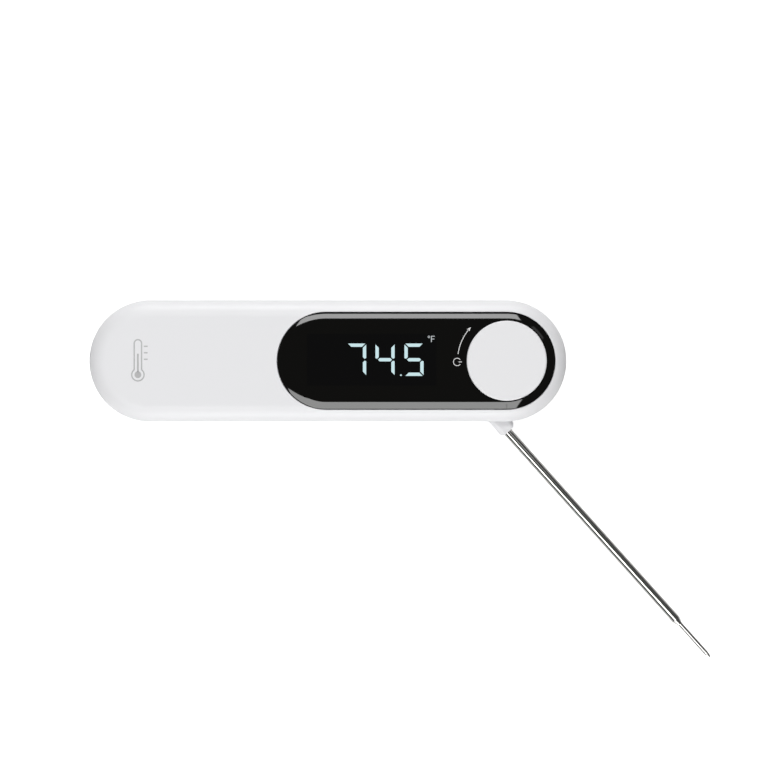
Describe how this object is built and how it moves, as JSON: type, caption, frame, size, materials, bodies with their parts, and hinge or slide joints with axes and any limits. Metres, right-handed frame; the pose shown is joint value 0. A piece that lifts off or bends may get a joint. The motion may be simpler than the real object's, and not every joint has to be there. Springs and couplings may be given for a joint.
{
  "type": "folding meat thermometer",
  "caption": "White folding instant-read meat thermometer with a black display lens, a round knob on the pivot and a stainless probe that folds into the side of the handle.",
  "frame": {"origin": "on the pivot axis of the folding probe, at the flat rear face of the handle", "axes": "+Z out of the display face along the pivot axis, +X along the handle from the grip to the pivot end, +Y to the edge that stores the probe"},
  "size_m": [0.2132, 0.1228, 0.0198],
  "materials": {
    "white_plastic": "satin",
    "knob_plastic": "satin",
    "button_plastic": "satin",
    "black_rubber": "matte",
    "lens_black": "gloss",
    "display_glass": "gloss",
    "light_guide": "satin",
    "dark_plastic": "matte",
    "zebra_rubber": "matte",
    "board_green": "satin",
    "ceramic": "matte",
    "bush_plastic": "satin",
    "spring_steel": "satin",
    "nickel_plate": "polished",
    "cell_sleeve": "gloss",
    "lead_red": "satin",
    "probe_steel": "polished",
    "wire_bronze": "satin"
  },
  "bodies": {
    "housing": {"front_shell": "white_plastic", "rear_shell": "white_plastic", "shell_seal": "black_rubber", "shell_screws": "spring_steel", "display_lens": "lens_black", "lens_tape": "black_rubber", "lcd_frame": "dark_plastic", "lcd_panel": "display_glass", "backlight_panel": "light_guide", "zebra_strips": "zebra_rubber", "main_board": "board_green", "board_chips": "dark_plastic", "board_capacitors": "ceramic", "hall_sensor": "dark_plastic", "unit_switch": "spring_steel", "front_bush": "bush_plastic", "front_oring": "black_rubber", "rear_bush": "bush_plastic", "rear_oring": "black_rubber", "friction_washer": "spring_steel", "battery_tray": "dark_plastic", "battery_cell_1": "cell_sleeve", "battery_cell_2": "cell_sleeve", "contact_bridge": "nickel_plate", "contact_positive": "nickel_plate", "contact_negative": "nickel_plate", "contact_springs": "spring_steel", "battery_leads": "lead_red", "sensor_lead_board": "lead_red"},
    "arm": {"knob": "knob_plastic", "hub_upper": "white_plastic", "hub_lower": "white_plastic", "knob_screws": "spring_steel", "hub_screws": "spring_steel", "retaining_clip": "spring_steel", "probe_tube": "probe_steel", "probe_tip": "probe_steel", "probe_ferrule": "spring_steel", "thermocouple_wires": "wire_bronze", "thermocouple_junction": "nickel_plate", "hub_magnet": "nickel_plate", "sensor_lead_hub": "lead_red"},
    "door": {"battery_door": "white_plastic", "door_gasket": "black_rubber", "door_screw": "spring_steel"},
    "button": {"unit_button": "button_plastic"}
  },
  "joints": [
    {"name": "arm_fold", "type": "hinge", "parent": "housing", "child": "arm", "pos_m": [0, 0, 0], "axis": [0, 0, 1], "range_deg": [0, 228]},
    {"name": "door_swing", "type": "hinge", "parent": "housing", "child": "door", "pos_m": [-0.1207, 0, 0.0008], "axis": [0, 1, 0], "range_deg": [0, 70]},
    {"name": "unit_press", "type": "slide", "parent": "housing", "child": "button", "axis": [0, 0, 1], "range_m": [0, 0.0006], "stiffness_N_per_m": 600}
  ]
}
